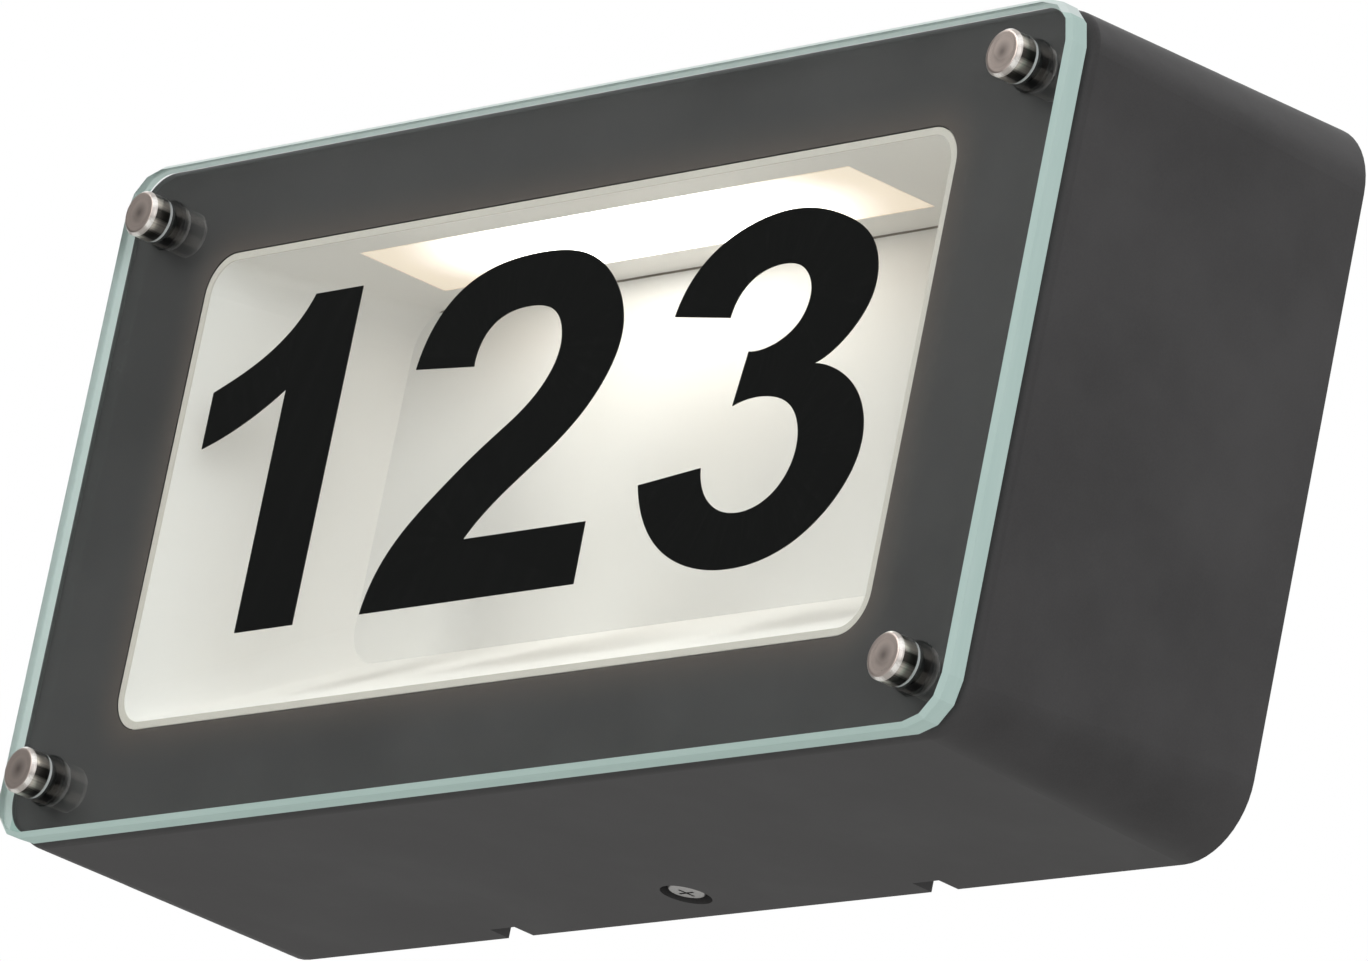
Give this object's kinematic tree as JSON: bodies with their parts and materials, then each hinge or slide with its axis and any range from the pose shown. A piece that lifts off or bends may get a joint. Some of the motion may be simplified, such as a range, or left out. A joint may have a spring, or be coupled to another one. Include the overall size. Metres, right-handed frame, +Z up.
{
  "type": "illuminated house number sign",
  "caption": "Wall-hung outdoor sign: a dark drafted housing with a lit white tray behind a clear glass plate that carries black digits and stands on steel caps.",
  "frame": {"origin": "middle of the bracket's four wall holes, on the wall plane", "axes": "+Z up, the glass faces -Y, +X to the right as seen from the front, +Y into the wall"},
  "size_m": [0.306, 0.0846, 0.154],
  "materials": {
    "zinc_sheet": "zinc plated",
    "black_rubber": "matt",
    "dark_coat": "fine powder coat",
    "stainless": "satin",
    "turned_steel": "turned",
    "white_tray": "satin white",
    "opal": "opal",
    "raw_aluminium": "mill",
    "white_board": "solder mask",
    "led_phosphor": "phosphor",
    "driver_case": "fine texture",
    "pale_plastic": "satin",
    "brass_screw": "plated",
    "tinned_lug": "tinned",
    "brown_lead": "satin",
    "blue_lead": "satin",
    "green_yellow_lead": "satin",
    "red_lead": "satin",
    "black_lead": "satin",
    "clear_glass": "polished",
    "clear_plastic": "clear",
    "black_film": "matt film"
  },
  "bodies": {
    "wall_bracket": {"wall_bracket": "zinc_sheet", "bracket_grommet": "black_rubber"},
    "lamp": {"housing": "dark_coat", "rear_cover": "dark_coat", "rear_gasket": "black_rubber", "rear_cover_screws": "stainless", "reflector_tray": "white_tray", "tray_gasket": "black_rubber", "tray_screws": "stainless", "diffuser_seal": "black_rubber", "diffuser": "opal", "led_carrier": "raw_aluminium", "carrier_screws": "stainless", "led_board": "white_board", "led_chips": "led_phosphor", "board_screws": "stainless", "led_driver": "driver_case", "driver_screws": "stainless", "terminal_block": "pale_plastic", "terminal_screws": "brass_screw", "terminal_fixings": "stainless", "earth_lug": "tinned_lug", "earth_screw": "stainless", "lead_live": "brown_lead", "lead_neutral": "blue_lead", "lead_earth": "green_yellow_lead", "lead_led_plus": "red_lead", "lead_led_minus": "black_lead", "cable_grommet": "black_rubber", "black_washers": "black_rubber"},
    "lock_screw": {"lock_screw": "stainless"},
    "clamp_nut": {"clamp_nut": "stainless"},
    "glass_plate": {"front_glass": "clear_glass", "digit_1": "black_film", "digit_2": "black_film", "digit_3": "black_film"},
    "cap_washer_1": {"cap_washer_1": "clear_plastic"},
    "cap_1": {"cap_1": "turned_steel"},
    "cap_washer_2": {"cap_washer_2": "clear_plastic"},
    "cap_2": {"cap_2": "turned_steel"},
    "cap_washer_3": {"cap_washer_3": "clear_plastic"},
    "cap_3": {"cap_3": "turned_steel"},
    "cap_washer_4": {"cap_washer_4": "clear_plastic"},
    "cap_4": {"cap_4": "turned_steel"}
  },
  "joints": [
    {"name": "lamp_slide", "type": "slide", "parent": "wall_bracket", "child": "lamp", "axis": [0, -1, 0], "range_m": [0, 0.025]},
    {"name": "lock_screw_turn", "type": "hinge", "parent": "lamp", "child": "lock_screw", "pos_m": [0, -0.0123, -0.0739], "axis": [0, 0, -1], "range_deg": [0, 1800]},
    {"name": "clamp_nut_lift", "type": "slide", "parent": "lamp", "child": "clamp_nut", "axis": [0, 0, 1], "range_m": [0, 0.0035]},
    {"name": "glass_slide", "type": "slide", "parent": "lamp", "child": "glass_plate", "axis": [0, -1, 0], "range_m": [0, 0.025]},
    {"name": "cap_1_travel", "type": "slide", "parent": "glass_plate", "child": "cap_washer_1", "axis": [0, -1, 0], "range_m": [0, 0.01]},
    {"name": "cap_1_turn", "type": "hinge", "parent": "cap_washer_1", "child": "cap_1", "pos_m": [-0.137, -0.0799, 0.062], "axis": [0, -1, 0], "range_deg": [0, 4500]},
    {"name": "cap_2_travel", "type": "slide", "parent": "glass_plate", "child": "cap_washer_2", "axis": [0, -1, 0], "range_m": [0, 0.01]},
    {"name": "cap_2_turn", "type": "hinge", "parent": "cap_washer_2", "child": "cap_2", "pos_m": [0.137, -0.0799, 0.062], "axis": [0, -1, 0], "range_deg": [0, 4500]},
    {"name": "cap_3_travel", "type": "slide", "parent": "glass_plate", "child": "cap_washer_3", "axis": [0, -1, 0], "range_m": [0, 0.01]},
    {"name": "cap_3_turn", "type": "hinge", "parent": "cap_washer_3", "child": "cap_3", "pos_m": [-0.137, -0.0799, -0.062], "axis": [0, -1, 0], "range_deg": [0, 4500]},
    {"name": "cap_4_travel", "type": "slide", "parent": "glass_plate", "child": "cap_washer_4", "axis": [0, -1, 0], "range_m": [0, 0.01]},
    {"name": "cap_4_turn", "type": "hinge", "parent": "cap_washer_4", "child": "cap_4", "pos_m": [0.137, -0.0799, -0.062], "axis": [0, -1, 0], "range_deg": [0, 4500]}
  ],
  "couplings": [
    {"joint": "lock_screw_turn", "follows": "clamp_nut_lift", "rad_per_m": 8976},
    {"joint": "cap_1_turn", "follows": "cap_1_travel", "rad_per_m": 7854},
    {"joint": "cap_2_turn", "follows": "cap_2_travel", "rad_per_m": 7854},
    {"joint": "cap_3_turn", "follows": "cap_3_travel", "rad_per_m": 7854},
    {"joint": "cap_4_turn", "follows": "cap_4_travel", "rad_per_m": 7854}
  ]
}
